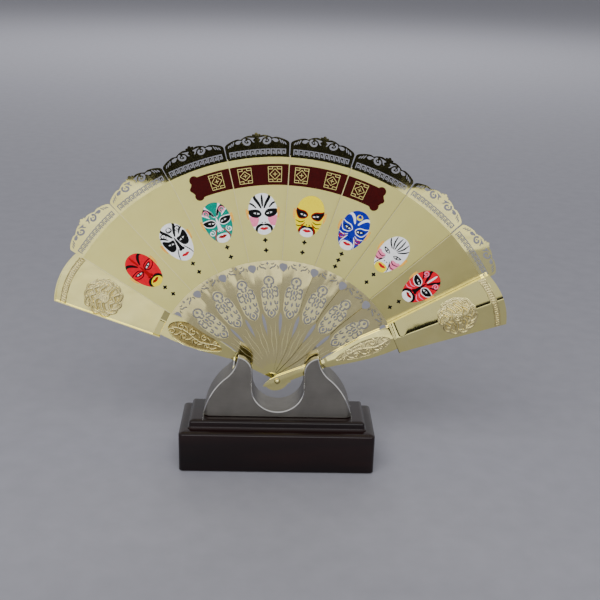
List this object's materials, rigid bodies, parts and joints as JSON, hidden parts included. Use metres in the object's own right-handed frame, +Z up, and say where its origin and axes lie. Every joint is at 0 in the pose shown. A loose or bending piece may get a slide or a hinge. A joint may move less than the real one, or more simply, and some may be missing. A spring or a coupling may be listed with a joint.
{
  "type": "folding fan on stand",
  "caption": "Open brise folding fan of pierced gilt metal leaves on one rivet, standing in a horned metal cradle on a stepped wooden plinth; the blades fold together and the fan lifts out.",
  "frame": {"origin": "middle of the plinth's underside, on the surface it stands on", "axes": "+X to the right along the plinth and the open fan, +Y away from the front, along the rivet, +Z up"},
  "size_m": [0.3177, 0.052, 0.2403],
  "materials": {
    "lacquered_wood": "dark brown-black lacquer, semi-gloss",
    "felt": "matte felt",
    "pewter": "satin cast metal with bright edges",
    "screw_steel": "plain zinc-plated",
    "gilt_satin": "satin pale gold plate",
    "gilt_polished": "mirror-polished pale gold plate",
    "enamel": "gloss enamel print in several colours"
  },
  "bodies": {
    "stand": {"plinth_block": "lacquered_wood", "plinth_step": "lacquered_wood", "underside_felt": "felt", "cradle": "pewter", "cradle_screws": "screw_steel", "screw_washers": "screw_steel"},
    "rear_guard": {"guard_rear_shell": "gilt_polished", "guard_rear_lining": "gilt_polished", "guard_rear_stick": "gilt_polished", "rivet": "gilt_polished", "rivet_cap": "gilt_polished", "rivet_spacers": "gilt_satin"},
    "leaf_1": {"leaf_1": "gilt_satin"},
    "leaf_2": {"leaf_2": "gilt_satin"},
    "leaf_3": {"leaf_3": "gilt_satin"},
    "leaf_4": {"leaf_4": "gilt_satin"},
    "leaf_5": {"leaf_5": "gilt_satin"},
    "leaf_6": {"leaf_6": "gilt_satin"},
    "leaf_7": {"leaf_7": "gilt_satin"},
    "leaf_8": {"leaf_8": "gilt_satin"},
    "front_guard": {"guard_front_shell": "gilt_polished", "guard_front_lining": "gilt_polished", "guard_front_stick": "gilt_polished"}
  },
  "joints": [
    {"name": "fan_lift", "type": "slide", "parent": "stand", "child": "rear_guard", "axis": [0, 0, 1], "range_m": [0, 0.12]},
    {"name": "leaf_1_turn", "type": "hinge", "parent": "rear_guard", "child": "leaf_1", "pos_m": [-0.0005, 0, 0.0628], "axis": [0, 1, 0], "range_deg": [-14.08, 0]},
    {"name": "leaf_2_turn", "type": "hinge", "parent": "leaf_1", "child": "leaf_2", "pos_m": [-0.0005, 0, 0.0628], "axis": [0, 1, 0], "range_deg": [-14.78, 0]},
    {"name": "leaf_3_turn", "type": "hinge", "parent": "leaf_2", "child": "leaf_3", "pos_m": [-0.0005, 0, 0.0628], "axis": [0, 1, 0], "range_deg": [-14.78, 0]},
    {"name": "leaf_4_turn", "type": "hinge", "parent": "leaf_3", "child": "leaf_4", "pos_m": [-0.0005, 0, 0.0628], "axis": [0, 1, 0], "range_deg": [-14.78, 0]},
    {"name": "leaf_5_turn", "type": "hinge", "parent": "leaf_4", "child": "leaf_5", "pos_m": [-0.0005, 0, 0.0628], "axis": [0, 1, 0], "range_deg": [-14.78, 0]},
    {"name": "leaf_6_turn", "type": "hinge", "parent": "leaf_5", "child": "leaf_6", "pos_m": [-0.0005, 0, 0.0628], "axis": [0, 1, 0], "range_deg": [-14.78, 0]},
    {"name": "leaf_7_turn", "type": "hinge", "parent": "leaf_6", "child": "leaf_7", "pos_m": [-0.0005, 0, 0.0628], "axis": [0, 1, 0], "range_deg": [-14.78, 0]},
    {"name": "leaf_8_turn", "type": "hinge", "parent": "leaf_7", "child": "leaf_8", "pos_m": [-0.0005, 0, 0.0628], "axis": [0, 1, 0], "range_deg": [-14.78, 0]},
    {"name": "front_guard_turn", "type": "hinge", "parent": "leaf_8", "child": "front_guard", "pos_m": [-0.0005, 0, 0.0628], "axis": [0, 1, 0], "range_deg": [-13.06, 0]}
  ]
}
